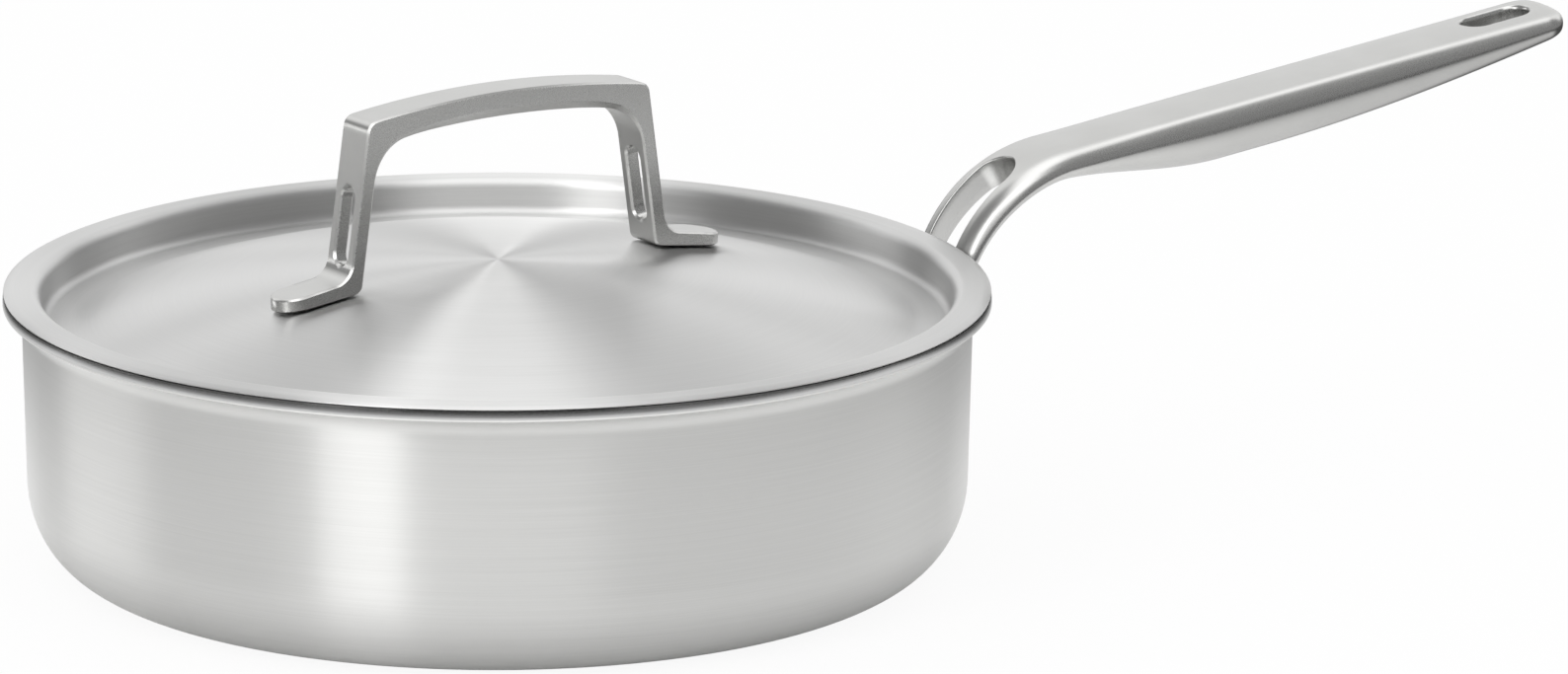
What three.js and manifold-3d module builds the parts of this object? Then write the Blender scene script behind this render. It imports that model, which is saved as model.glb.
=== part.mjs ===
import * as THREE from 'three';
import { mergeVertices } from 'three/addons/utils/BufferGeometryUtils.js';
import Module from 'manifold-3d';

// A lidded saute pan in stainless steel, in millimetres and degrees, +Z up.
// The origin is the centre of the pan's base, on the surface that it stands on.
// The long handle points along +X.

// Pan body: a bowl drawn from one disc of three bonded layers
const PAN_INSIDE_DIAMETER = 240;
const PAN_HEIGHT = 71.7;
const OUTER_SKIN = 0.5;
const CORE = 1.5;
const INNER_SKIN = 0.5;
const BOND_LINE = 0.02;
const BASE_CORNER_RUN = 18.4;
const BASE_CORNER_RISE = 23.3;
const WALL_DRAFT = 1;
const LIP_REACH = 4.35;
const LIP_ANGLE = 86;

// Lid: a pressed disc whose step drops inside the pan's wall
const LID_OVERHANG = 0.3;
const LID_SEAT_GAP = 0.3;
const LID_THICKNESS = 0.9;
const LID_STEP_CLEARANCE = 1.4;
const LID_STEP_DEPTH = 9.5;
const LID_RIM_FILLET = 2.7;
const LID_CHANNEL_FILLET = 2.3;
const LID_CHANNEL_WIDTH = 9.5;
const LID_DOME_RISE = 6.1;
const LID_DOME_POWER = 2.3;

// Lid handle: a cast bridge, welded to the dome by its two feet
const LIFT_SPAN = 86.4;
const LIFT_HEIGHT = 42.2;
const LIFT_ARCH = 3.4;
const LIFT_WIDTH = 12;
const LIFT_BAR_DEPTH = 7;
const LIFT_LEG_THICKNESS = 4.1;
const LIFT_LEG_SPLAY = 8.3;
const LIFT_FOOT_REACH = 25.2;
const LIFT_FOOT_THICKNESS = 3.8;
const LIFT_TOP_RADIUS = 3;
const LIFT_INNER_RADIUS = 12;
const LIFT_HEEL_RADIUS = 2.5;
const LIFT_FOOT_FILLET = 6;
const LIFT_EDGE_CHAMFER = 0.5;
const LIFT_SLOT_WIDTH = 6;
const LIFT_SLOT_HEIGHT = 20;
const LIFT_SLOT_DROP = 27.2;
const LIFT_TURN = 10;

// Pan handle: cast in one piece, with a forked neck and a pad that is welded to the wall
const WELD_GAP = 0.3;
const NECK_STAND_OFF = 1.3;
const NECK_LID_CLEARANCE = 1.75;
const NECK_RADIUS = 44;
const ROOT_LENGTH = 14;
const ROOT_THICKNESS = 6.6;
const ROOT_CORNER = 6;
const PAD_WIDTH = 26;
const PAD_HEIGHT = 22;
const PAD_CORNER = 6;
const PAD_DEPTH = 12;
const FORK_WIDTH = 29;
const FORK_SLOT_WIDTH = 15;
const FORK_SLOT_START = 11;
const FORK_SLOT_LENGTH = 38.5;
const NECK_THICKNESS = 6.9;
const GRIP_SLOPE = 9.3;
const GRIP_LENGTH = 154.8;
const GRIP_WIDTH = 26;
const GRIP_CROWN = 0.8;
const GRIP_EDGE_RADIUS = 3.6;
const BELLY_THICKNESS = 16.5;
const BELLY_AT = 66;
const TIP_THICKNESS = 8.7;
const TIP_TAPER = 1.8;
const TIP_CORNER = 6.5;
const HANG_SLOT_WIDTH = 10;
const HANG_SLOT_LENGTH = 20;
const HANG_SLOT_EDGE = 6.2;
const SLOT_OVERCUT = 2;
const SLOT_END_ANGLE = 170;

// Facets
const TURN_STEPS = 64;
const CORNER_STEPS = 4;
const LIP_STEPS = 4;
const DOME_STEPS = 5;
const FILLET_STEPS = 3;
const END_STEPS = 4;
const ARCH_STEPS = 4;
const CROWN_STEPS = 4;
const BELLY_STEPS = 8;
const NECK_STEPS = 9;
const GRIP_STEPS = 9;
const SLOT_STEPS = 6;
const ROUND_END_STEPS = 12;

// Sizes that follow from the ones above
const coreDepth = OUTER_SKIN + BOND_LINE;
const innerSkinDepth = coreDepth + CORE + BOND_LINE;
const wall = innerSkinDepth + INNER_SKIN;
const wallRadius = PAN_INSIDE_DIAMETER / 2 + wall;
const lipAngle = THREE.MathUtils.degToRad(LIP_ANGLE);
const lipRadius = LIP_REACH / (1 - Math.cos(lipAngle));
const lipRootHeight = PAN_HEIGHT - (lipRadius + wall) * Math.sin(lipAngle);
const draft = Math.tan(THREE.MathUtils.degToRad(WALL_DRAFT));
const wallRadiusAt = (height) => wallRadius - draft * (lipRootHeight - height);
const lidRadius = wallRadius + LIP_REACH + LID_OVERHANG;
const lidRimHeight = PAN_HEIGHT + LID_SEAT_GAP + LID_THICKNESS;
const lidStepRadius = PAN_INSIDE_DIAMETER / 2 - LID_STEP_CLEARANCE - LID_THICKNESS;
const lidDomeRadius = lidStepRadius - LID_CHANNEL_WIDTH;

const wasm = await Module();
wasm.setup();

const point = (across, up) => new THREE.Vector2(across, up);

// Eases from 0 to 1 as a value goes from low to high
const ease = (value, low, high) => THREE.MathUtils.smoothstep(value, low, high);

// Points of an ellipse's quarter or less, from one angle to another, both ends included
function sweep(centre, radiusAcross, radiusUp, from, to, steps) {
  const points = [];
  for (let i = 0; i <= steps; i += 1) {
    const angle = THREE.MathUtils.degToRad(from + ((to - from) * i) / steps);
    const across = centre.x + radiusAcross * Math.cos(angle);
    points.push(point(across, centre.y + radiusUp * Math.sin(angle)));
  }
  return points;
}

// A profile moved sideways by a distance, to the left of its direction, with mitred corners
function offsetProfile(profile, distance) {
  const sides = profile.slice(1).map((end, i) => {
    const along = end.clone().sub(profile[i]).normalize();
    return point(-along.y, along.x);
  });
  return profile.map((corner, i) => {
    const before = sides[Math.max(i - 1, 0)];
    const after = sides[Math.min(i, sides.length - 1)];
    const mitre = before.clone().add(after).normalize();
    const moved = corner.clone().addScaledVector(mitre, distance / mitre.dot(before));
    return corner.x === 0 ? point(0, moved.y) : moved;
  });
}

// A closed solid from any geometry: shared corners merged, slivers dropped, faces outwards
function solidFrom(geometry) {
  const bare = geometry.clone();
  bare.deleteAttribute('normal');
  bare.deleteAttribute('uv');
  const merged = mergeVertices(bare, 1e-4);
  const corners = merged.attributes.position.array;
  const triangles = [];
  let volume = 0;
  for (let i = 0; i < merged.index.count; i += 3) {
    const [a, b, c] = [0, 1, 2].map((k) => merged.index.getX(i + k));
    if (a !== b && b !== c && c !== a) {
      triangles.push(a, b, c);
      const [p, q, r] = [a, b, c].map((k) => new THREE.Vector3().fromArray(corners, 3 * k));
      volume += p.dot(q.cross(r));
    }
  }
  if (volume < 0) {
    triangles.reverse();
  }
  const vertProperties = new Float32Array(corners);
  const triVerts = new Uint32Array(triangles);
  return new wasm.Manifold(new wasm.Mesh({ numProp: 3, vertProperties, triVerts }));
}

function geometryFrom(solid) {
  const mesh = solid.getMesh();
  const geometry = new THREE.BufferGeometry();
  geometry.setAttribute('position', new THREE.BufferAttribute(mesh.vertProperties, 3));
  geometry.setIndex(new THREE.BufferAttribute(mesh.triVerts, 1));
  geometry.computeVertexNormals();
  return geometry;
}

// A profile of radius and height turned about the Z axis
function revolve(profile) {
  const geometry = new THREE.LatheGeometry(profile, TURN_STEPS);
  geometry.rotateX(Math.PI / 2);
  return solidFrom(geometry);
}

// Rings of equal count joined along a path and closed by a fan at each end
function loft(rings) {
  const count = rings[0].length;
  const corners = rings.flat().flatMap((corner) => corner.toArray());
  const faces = [];
  for (let ring = 0; ring + 1 < rings.length; ring += 1) {
    for (let i = 0; i < count; i += 1) {
      const a = ring * count + i;
      const b = ring * count + ((i + 1) % count);
      faces.push(a, b, a + count, b, b + count, a + count);
    }
  }
  const last = (rings.length - 1) * count;
  for (let i = 1; i + 1 < count; i += 1) {
    faces.push(0, i + 1, i, last, last + i, last + i + 1);
  }
  const geometry = new THREE.BufferGeometry();
  geometry.setAttribute('position', new THREE.Float32BufferAttribute(corners, 3));
  geometry.setIndex(faces);
  return solidFrom(geometry);
}

// Pan body

// The bowl's outer surface, from the middle of the base out and up to the edge of the lip
function bowlProfile() {
  const wallFoot = wallRadiusAt(BASE_CORNER_RISE);
  const cornerCentre = point(wallFoot - BASE_CORNER_RUN, BASE_CORNER_RISE);
  const corner = sweep(cornerCentre, BASE_CORNER_RUN, BASE_CORNER_RISE, -90, 0, CORNER_STEPS);
  const lipCentre = point(wallRadius + lipRadius, lipRootHeight);
  const lip = sweep(lipCentre, lipRadius, lipRadius, 180, 180 - LIP_ANGLE, LIP_STEPS);
  return [point(0, 0), ...corner, ...lip];
}

// One bonded layer, between two depths measured in from the bowl's outer surface
function bowlLayer(depth, thickness) {
  const outside = offsetProfile(bowlProfile(), depth);
  const inside = offsetProfile(bowlProfile(), depth + thickness);
  return revolve([...outside, ...inside.reverse()]);
}

// The space that the bowl takes up, grown by a gap, for cutting what seats against it
function bowlEnvelope(gap) {
  const outside = offsetProfile(bowlProfile(), -gap);
  const edge = outside[outside.length - 1];
  return revolve([...outside, point(edge.x, lidRimHeight), point(0, lidRimHeight)]);
}

// Pan handle

const rootRadius = wallRadius + NECK_STAND_OFF;
const neckReach = lidRadius + NECK_LID_CLEARANCE - rootRadius;
const neckRise = Math.sqrt(2 * NECK_RADIUS * neckReach - neckReach ** 2);
const neckStartHeight = lidRimHeight - neckRise;
const neckTurn = THREE.MathUtils.degToRad(90 - GRIP_SLOPE);
const neckLength = NECK_RADIUS * neckTurn;
const gripStart = ROOT_LENGTH + neckLength;
const handleLength = gripStart + GRIP_LENGTH;
const rootBottomHeight = neckStartHeight - ROOT_LENGTH;

// The handle's top line: up the wall, round the neck's bend and out along the grip.
// It gives a place, and the direction square to the top face, at a length from the root.
function topLine(length) {
  const turned = THREE.MathUtils.clamp((length - ROOT_LENGTH) / NECK_RADIUS, 0, neckTurn);
  const straight = length < ROOT_LENGTH ? length - ROOT_LENGTH : Math.max(length - gripStart, 0);
  const across = rootRadius + NECK_RADIUS * (1 - Math.cos(turned)) + straight * Math.sin(turned);
  const up = neckStartHeight + NECK_RADIUS * Math.sin(turned) + straight * Math.cos(turned);
  const normal = new THREE.Vector3(-Math.cos(turned), 0, Math.sin(turned));
  return { place: new THREE.Vector3(across, 0, up), normal };
}

// A flat ring of points set square to the top line
function ringAt(length, outline) {
  const { place, normal } = topLine(length);
  return outline.map((p) => {
    const corner = place.clone().addScaledVector(normal, p.y);
    corner.y += p.x;
    return corner;
  });
}

// How far a corner of this radius draws the side in, at a distance from the end
function cornerInset(distance, radius) {
  const left = Math.max(radius - distance, 0);
  return radius - Math.sqrt(radius ** 2 - left ** 2);
}

function handleHalfWidth(length) {
  const forkEnd = ROOT_LENGTH + FORK_SLOT_START + FORK_SLOT_LENGTH;
  const spread = ease(length, forkEnd - FORK_SLOT_WIDTH, gripStart + FORK_SLOT_WIDTH);
  const side = THREE.MathUtils.lerp(FORK_WIDTH, GRIP_WIDTH, spread) / 2;
  const rootInset = cornerInset(length, ROOT_CORNER);
  return side - rootInset - cornerInset(handleLength - length, TIP_CORNER);
}

function handleThickness(length) {
  const belly = gripStart + BELLY_AT;
  const neckMiddle = ROOT_LENGTH + neckLength / 2;
  const neck = THREE.MathUtils.lerp(ROOT_THICKNESS, NECK_THICKNESS, ease(length, 0, neckMiddle));
  const rise = (BELLY_THICKNESS - NECK_THICKNESS) * ease(length, neckMiddle, belly);
  const past = Math.max(length - belly, 0) / (handleLength - belly);
  return neck + rise - (BELLY_THICKNESS - TIP_THICKNESS) * past ** TIP_TAPER;
}

// The section: a slightly crowned top, rounded edges and a half-round belly below
function handleSection(length) {
  const half = handleHalfWidth(length);
  const flat = half - GRIP_EDGE_RADIUS;
  const shoulder = -GRIP_CROWN - GRIP_EDGE_RADIUS;
  const depth = handleThickness(length) + shoulder;
  const top = evenLengths(1, -1, CROWN_STEPS).map((t) => point(t * flat, -GRIP_CROWN * t ** 2));
  const near = sweep(point(-flat, shoulder), GRIP_EDGE_RADIUS, GRIP_EDGE_RADIUS, 90, 180, FILLET_STEPS);
  const belly = sweep(point(0, shoulder), half, depth, 180, 360, BELLY_STEPS);
  const far = sweep(point(flat, shoulder), GRIP_EDGE_RADIUS, GRIP_EDGE_RADIUS, 0, 90, FILLET_STEPS);
  return [...top, ...near.slice(1, -1), ...belly, ...far.slice(1, -1)];
}

// Lengths along a rounded end, closer together where the corner turns
function endLengths(radius) {
  return sweep(point(radius, 0), radius, radius, 180, 90, END_STEPS).map((p) => p.x);
}

function evenLengths(from, to, steps) {
  return sweep(point(0, 0), 1, 1, 0, 0, steps).map((_, i) => from + ((to - from) * i) / steps);
}

// A slot with round ends, cut square through the handle between two lengths.
// Each end is flat for a short way where its curve would come to a point.
function handleSlot(start, length, width) {
  const radius = width / 2;
  const outline = (at, half) => {
    const above = SLOT_OVERCUT;
    const below = -handleThickness(at) - SLOT_OVERCUT;
    return ringAt(at, [point(half, above), point(-half, above), point(-half, below), point(half, below)]);
  };
  const turn = sweep(point(0, 0), radius, radius, SLOT_END_ANGLE, 90, END_STEPS);
  const opening = turn.map((p) => outline(start + radius + p.x, p.y));
  const middle = evenLengths(start + radius, start + length - radius, SLOT_STEPS).slice(1, -1);
  const closing = turn.reverse().map((p) => outline(start + length - radius - p.x, p.y));
  return loft([...opening, ...middle.map((at) => outline(at, radius)), ...closing]);
}

// The pad that fills the space between the root and the wall, deep enough to be trimmed by it
function rootPad() {
  const half = PAD_WIDTH / 2;
  const low = rootBottomHeight;
  const high = low + PAD_HEIGHT;
  const inner = half - PAD_CORNER;
  const outline = new THREE.Shape([
    ...sweep(point(inner, low + PAD_CORNER), PAD_CORNER, PAD_CORNER, -90, 0, FILLET_STEPS),
    ...sweep(point(inner, high - PAD_CORNER), PAD_CORNER, PAD_CORNER, 0, 90, FILLET_STEPS),
    ...sweep(point(-inner, high - PAD_CORNER), PAD_CORNER, PAD_CORNER, 90, 180, FILLET_STEPS),
    ...sweep(point(-inner, low + PAD_CORNER), PAD_CORNER, PAD_CORNER, 180, 270, FILLET_STEPS),
  ]);
  const back = rootRadius + ROOT_THICKNESS / 2;
  const pad = new THREE.ExtrudeGeometry(outline, { depth: PAD_DEPTH, bevelEnabled: false });
  const axes = [new THREE.Vector3(0, 1, 0), new THREE.Vector3(0, 0, 1), new THREE.Vector3(1, 0, 0)];
  pad.applyMatrix4(new THREE.Matrix4().makeBasis(...axes).setPosition(back - PAD_DEPTH, 0, 0));
  return solidFrom(pad);
}

function panHandle() {
  const lengths = [
    ...endLengths(ROOT_CORNER),
    ...evenLengths(ROOT_LENGTH, gripStart, NECK_STEPS),
    ...evenLengths(gripStart, handleLength - TIP_CORNER, GRIP_STEPS).slice(1, -1),
    ...endLengths(TIP_CORNER).reverse().map((length) => handleLength - length),
  ];
  const body = loft(lengths.map((length) => ringAt(length, handleSection(length))));
  const forkSlot = handleSlot(ROOT_LENGTH + FORK_SLOT_START, FORK_SLOT_LENGTH, FORK_SLOT_WIDTH);
  const hangStart = handleLength - HANG_SLOT_EDGE - HANG_SLOT_LENGTH;
  const hangSlot = handleSlot(hangStart, HANG_SLOT_LENGTH, HANG_SLOT_WIDTH);
  const seat = bowlEnvelope(WELD_GAP);
  return body.add(rootPad()).subtract(seat).subtract(forkSlot).subtract(hangSlot);
}

// Lid, measured from the top of its rim

// Height of the dome's upper surface: a flat middle that steepens towards its edge
function domeHeight(radius) {
  const drop = LID_DOME_RISE + LID_STEP_DEPTH;
  return LID_DOME_RISE - drop * (radius / lidDomeRadius) ** LID_DOME_POWER;
}

function lidShell() {
  const dome = evenLengths(0, lidDomeRadius, DOME_STEPS).map((r) => point(r, domeHeight(r)));
  const low = LID_CHANNEL_FILLET - LID_STEP_DEPTH;
  const channelCentre = point(lidStepRadius - LID_CHANNEL_FILLET, low);
  const channel = sweep(channelCentre, LID_CHANNEL_FILLET, LID_CHANNEL_FILLET, -90, 0, FILLET_STEPS);
  const rimCentre = point(lidStepRadius + LID_RIM_FILLET, -LID_RIM_FILLET);
  const rim = sweep(rimCentre, LID_RIM_FILLET, LID_RIM_FILLET, 180, 90, FILLET_STEPS);
  const upper = [...dome, ...channel, ...rim, point(lidRadius, 0)];
  const lower = offsetProfile(upper, -LID_THICKNESS);
  return revolve([...lower, ...upper.reverse()]);
}

// Lid handle, in the plane of its bridge, measured from the lid's rim

// An outline whose corners are rounded, each by its own radius
function roundedOutline(corners) {
  const points = [];
  corners.forEach(({ at, radius }, i) => {
    const before = corners[(i + corners.length - 1) % corners.length].at;
    const after = corners[(i + 1) % corners.length].at;
    const back = before.clone().sub(at).normalize();
    const ahead = after.clone().sub(at).normalize();
    const half = Math.acos(back.dot(ahead)) / 2;
    const trim = radius / Math.tan(half);
    const centre = back.clone().add(ahead).normalize().multiplyScalar(radius / Math.sin(half)).add(at);
    const start = back.multiplyScalar(trim).add(at).sub(centre);
    const end = ahead.multiplyScalar(trim).add(at).sub(centre);
    const steps = radius > 0 ? FILLET_STEPS : 0;
    for (let k = 0; k <= steps; k += 1) {
      const turn = Math.atan2(start.cross(end), start.dot(end)) * (steps ? k / steps : 0);
      points.push(start.clone().rotateAround(point(0, 0), turn).add(centre));
    }
  });
  return points;
}

const liftTop = LID_DOME_RISE + LIFT_HEIGHT;
const liftTip = LIFT_SPAN / 2 + LIFT_FOOT_REACH;
const legLean = Math.tan(THREE.MathUtils.degToRad(LIFT_LEG_SPLAY));
const legWidth = LIFT_LEG_THICKNESS / Math.cos(THREE.MathUtils.degToRad(LIFT_LEG_SPLAY));

// Distance out to the outer face of a leg at a height
const legOuter = (height) => LIFT_SPAN / 2 + legLean * (liftTop - height);

// The sole of a foot: a straight line laid on the dome, clear of it by the weld gap
function footSole() {
  const heel = LIFT_SPAN / 2;
  const middle = (heel + liftTip) / 2;
  const slope = (domeHeight(liftTip) - domeHeight(heel)) / (liftTip - heel);
  const highest = domeHeight(middle) - slope * middle;
  return { slope, start: highest + WELD_GAP };
}

// Where a leg's face, moved in by a thickness, meets a line of the given slope and start
function legMeets(inset, slope, start) {
  const across = (LIFT_SPAN / 2 + legLean * (liftTop - start) - inset) / (1 + legLean * slope);
  return point(across, start + slope * across);
}

// Right half of the bridge's outline, from the middle of the top round to the middle below
function bridgeHalf() {
  const sole = footSole();
  const instep = sole.start + LIFT_FOOT_THICKNESS;
  const arch = (across) => liftTop + LIFT_ARCH * (1 - (2 * across / LIFT_SPAN) ** 2);
  const soleTip = point(liftTip, sole.start + sole.slope * liftTip);
  const innerCorner = legMeets(legWidth, 0, liftTop - LIFT_BAR_DEPTH);
  const steps = evenLengths(0, LIFT_SPAN / 2, ARCH_STEPS).slice(1, -1);
  const above = steps.map((across) => ({ at: point(across, arch(across)), radius: 0 }));
  const clearOfCorner = above.filter(({ at }) => at.x < innerCorner.x - LIFT_INNER_RADIUS);
  const below = clearOfCorner.map(({ at }) => ({ at: point(at.x, at.y - LIFT_BAR_DEPTH), radius: 0 }));
  return [
    ...above,
    { at: point(LIFT_SPAN / 2, liftTop), radius: LIFT_TOP_RADIUS },
    { at: legMeets(0, sole.slope, instep), radius: LIFT_FOOT_FILLET },
    { at: point(liftTip, soleTip.y + LIFT_FOOT_THICKNESS), radius: 0 },
    { at: soleTip, radius: 0 },
    { at: legMeets(legWidth, sole.slope, sole.start), radius: LIFT_HEEL_RADIUS },
    { at: innerCorner, radius: LIFT_INNER_RADIUS },
    ...below.reverse(),
    { at: point(0, arch(0) - LIFT_BAR_DEPTH), radius: 0 },
  ];
}

// A shape drawn across and up, carried through a depth that is centred on the bridge's plane
function acrossBridge(shape, depth, chamfer) {
  const core = depth - 2 * chamfer;
  const bevel = { bevelSize: chamfer, bevelThickness: chamfer, bevelOffset: -chamfer, bevelSegments: 1 };
  const options = { depth: core, bevelEnabled: chamfer > 0, ...bevel };
  const geometry = new THREE.ExtrudeGeometry(shape, options);
  geometry.translate(0, 0, -core / 2);
  geometry.rotateX(Math.PI / 2);
  return solidFrom(geometry);
}

// A shape with two round ends, centred, with its long axis across
function stadium(halfLength, radius, steps) {
  const reach = halfLength - radius;
  const right = sweep(point(reach, 0), radius, radius, -90, 90, steps);
  const left = sweep(point(-reach, 0), radius, radius, 90, 270, steps);
  return new THREE.Shape([...right, ...left]);
}

// The slot through one leg, on the side of the bridge given by its sign
function legSlot(side) {
  const shape = stadium(LIFT_SLOT_HEIGHT / 2, LIFT_SLOT_WIDTH / 2, SLOT_STEPS);
  const depth = LIFT_LEG_THICKNESS + 2 * LIFT_INNER_RADIUS;
  const slot = new THREE.ExtrudeGeometry(shape, { depth, bevelEnabled: false });
  slot.translate(0, 0, -depth / 2);
  slot.rotateY(Math.PI / 2);
  slot.rotateY(-side * THREE.MathUtils.degToRad(LIFT_LEG_SPLAY));
  const height = liftTop - LIFT_SLOT_DROP;
  slot.translate(side * (legOuter(height) - legWidth / 2), 0, height);
  return solidFrom(slot);
}

function lidHandle() {
  const half = bridgeHalf();
  const mirrored = half.slice(0, -1).reverse().map(({ at, radius }) => ({ at: point(-at.x, at.y), radius }));
  const top = { at: point(0, liftTop + LIFT_ARCH), radius: 0 };
  const outline = new THREE.Shape(roundedOutline([top, ...half, ...mirrored]));
  const bridge = acrossBridge(outline, LIFT_WIDTH, LIFT_EDGE_CHAMFER);
  const plan = new THREE.ExtrudeGeometry(stadium(liftTip, LIFT_WIDTH / 2, ROUND_END_STEPS), {
    depth: liftTop + 2 * LIFT_ARCH + LID_STEP_DEPTH,
    bevelEnabled: false,
  });
  plan.translate(0, 0, -LID_STEP_DEPTH);
  const rounded = bridge.intersect(solidFrom(plan));
  return rounded.subtract(legSlot(1)).subtract(legSlot(-1));
}

// Assembly

const finishes = {
  steel: new THREE.MeshStandardMaterial({ color: 0xc9c9c7, roughness: 0.32, metalness: 1 }),
  castSteel: new THREE.MeshStandardMaterial({ color: 0xbdbdbb, roughness: 0.42, metalness: 1 }),
  aluminium: new THREE.MeshStandardMaterial({ color: 0xd2d4d6, roughness: 0.5, metalness: 1 }),
};

function piece(name, solid, finish) {
  const mesh = new THREE.Mesh(geometryFrom(solid), finish);
  mesh.name = name;
  return mesh;
}

const pan = new THREE.Group();
pan.add(piece('pan_outer_skin', bowlLayer(0, OUTER_SKIN), finishes.steel));
pan.add(piece('pan_core', bowlLayer(coreDepth, CORE), finishes.aluminium));
pan.add(piece('pan_inner_skin', bowlLayer(innerSkinDepth, INNER_SKIN), finishes.steel));
pan.add(piece('pan_handle', panHandle(), finishes.castSteel));

const lid = new THREE.Group();
lid.position.z = lidRimHeight;
lid.add(piece('lid_shell', lidShell(), finishes.steel));

const lift = new THREE.Group();
lift.rotation.z = THREE.MathUtils.degToRad(LIFT_TURN);
lift.add(piece('lid_handle', lidHandle(), finishes.castSteel));
lid.add(lift);

const sautePan = new THREE.Group();
sautePan.add(pan, lid);

export default sautePan;
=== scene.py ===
import math

import bmesh
import bpy
import numpy as np
from mathutils import Matrix, Vector


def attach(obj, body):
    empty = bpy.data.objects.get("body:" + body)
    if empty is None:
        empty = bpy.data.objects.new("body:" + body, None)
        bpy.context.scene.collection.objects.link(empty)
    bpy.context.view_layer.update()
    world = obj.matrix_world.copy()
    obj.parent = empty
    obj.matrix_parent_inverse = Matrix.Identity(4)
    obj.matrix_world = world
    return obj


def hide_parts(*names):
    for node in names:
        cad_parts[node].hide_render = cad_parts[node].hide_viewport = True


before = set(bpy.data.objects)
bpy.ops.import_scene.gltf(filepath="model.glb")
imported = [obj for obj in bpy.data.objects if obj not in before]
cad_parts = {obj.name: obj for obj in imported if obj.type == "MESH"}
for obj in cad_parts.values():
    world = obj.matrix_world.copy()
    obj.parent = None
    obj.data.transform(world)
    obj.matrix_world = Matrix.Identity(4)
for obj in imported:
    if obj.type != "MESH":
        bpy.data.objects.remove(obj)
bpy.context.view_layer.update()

# Studio
# The pan stands on a pale floor in a white room. White boards and one soft lamp stand round it.
# None of this is part of the pan.

scene = bpy.context.scene
scene.view_settings.view_transform = "Standard"

HANDLE_TURN = 26.1
CAMERA_PLACE = Vector((-0.78659, -1.77344, 0.55038))
CAMERA_AIM = Vector((0.42644, 0.87048, -0.24578)).normalized()
CAMERA_ROLL = math.radians(0.469)
CAMERA_LENS = 177.67
CAMERA_SENSOR = 36


def add_camera():
    """The camera looks along CAMERA_AIM, and its level right side is turned by a small roll."""
    level = CAMERA_AIM.cross(Vector((0, 0, 1))).normalized()
    upright = level.cross(CAMERA_AIM)
    right = math.cos(CAMERA_ROLL) * level + math.sin(CAMERA_ROLL) * upright
    up = math.cos(CAMERA_ROLL) * upright - math.sin(CAMERA_ROLL) * level
    lens = bpy.data.cameras.new("camera")
    lens.sensor_width = CAMERA_SENSOR
    lens.lens = CAMERA_LENS
    camera = bpy.data.objects.new("camera", lens)
    turned_axes = Matrix((right, up, -CAMERA_AIM)).transposed().to_4x4()
    camera.matrix_world = Matrix.Translation(CAMERA_PLACE) @ turned_axes
    scene.collection.objects.link(camera)
    scene.camera = camera


add_camera()


def add_node(tree, kind, **values):
    """A node of a kind. Values are put on the input sockets of those names, with _ for a space."""
    made = tree.nodes.new(kind)
    for name, value in values.items():
        made.inputs[name.replace("_", " ")].default_value = value
    return made


def maths(tree, operation, *terms):
    """A Math node's result. Each term is a number or another node's output."""
    made = tree.nodes.new("ShaderNodeMath")
    made.operation = operation
    for socket, term in zip(made.inputs, terms):
        if isinstance(term, (int, float)):
            socket.default_value = term
        else:
            tree.links.new(term, socket)
    return made.outputs[0]


def step_between(tree, value, low, high):
    """A smooth step from 0 to 1 as a value goes from low to high."""
    made = add_node(tree, "ShaderNodeMapRange", From_Min=low, From_Max=high)
    made.interpolation_type = "SMOOTHSTEP"
    tree.links.new(value, made.inputs["Value"])
    return made.outputs["Result"]


def blend(tree, factor, low, high):
    """A value between low and high. Each of them is a number or another node's output."""
    made = tree.nodes.new("ShaderNodeMix")
    for name, value in (("Factor", factor), ("A", low), ("B", high)):
        if isinstance(value, (int, float)):
            made.inputs[name].default_value = value
        else:
            tree.links.new(value, made.inputs[name])
    return made.outputs["Result"]


ROOM_LIGHT = 1
BOARD_SOFTNESS = 7
ALL_ROUND = 200
PAST_TOP = 100
PAST_BOTTOM = -100
KEY_BOARD = 2.2
FRONT_BOARD = 0.9
CEILING = 2.0
BACK_WALL = 1.05
BACK_BOARD = 1.14
LEFT_SIDE = 0.3
LEFT_WALL = 3.3
RIGHT_SIDE = 0.32


def way(turn):
    """The level direction that is turn degrees to the right of the camera, seen from the pan."""
    angle = math.radians(turn - HANDLE_TURN)
    return Vector((math.sin(angle), -math.cos(angle), 0))


def along(tree, direction, axis):
    """How far a direction runs along an axis."""
    made = tree.nodes.new("ShaderNodeVectorMath")
    made.operation = "DOT_PRODUCT"
    made.inputs[1].default_value = axis
    tree.links.new(direction, made.inputs[0])
    return made.outputs["Value"]


def board(tree, direction, brightness, turn, half_turn, low, high):
    """A soft-edged board that stands round the pan. It has its brightness in the directions within
    half_turn degrees of a turn and between two angles above the level, and is dark elsewhere."""
    sideways = along(tree, direction, way(turn + 90))
    ahead = along(tree, direction, way(turn))
    aside = maths(tree, "ABSOLUTE", maths(tree, "ARCTAN2", sideways, ahead))
    lift = maths(tree, "ARCSINE", along(tree, direction, (0, 0, 1)))
    lit = brightness
    for angle, edge, sign in ((aside, half_turn, -1), (lift, low, 1), (lift, high, -1)):
        degrees = maths(tree, "DEGREES", angle)
        beyond = maths(tree, "MULTIPLY", maths(tree, "SUBTRACT", degrees, edge), sign)
        inside = step_between(tree, beyond, -BOARD_SOFTNESS, BOARD_SOFTNESS)
        lit = maths(tree, "MULTIPLY", lit, inside)
    return lit


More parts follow.
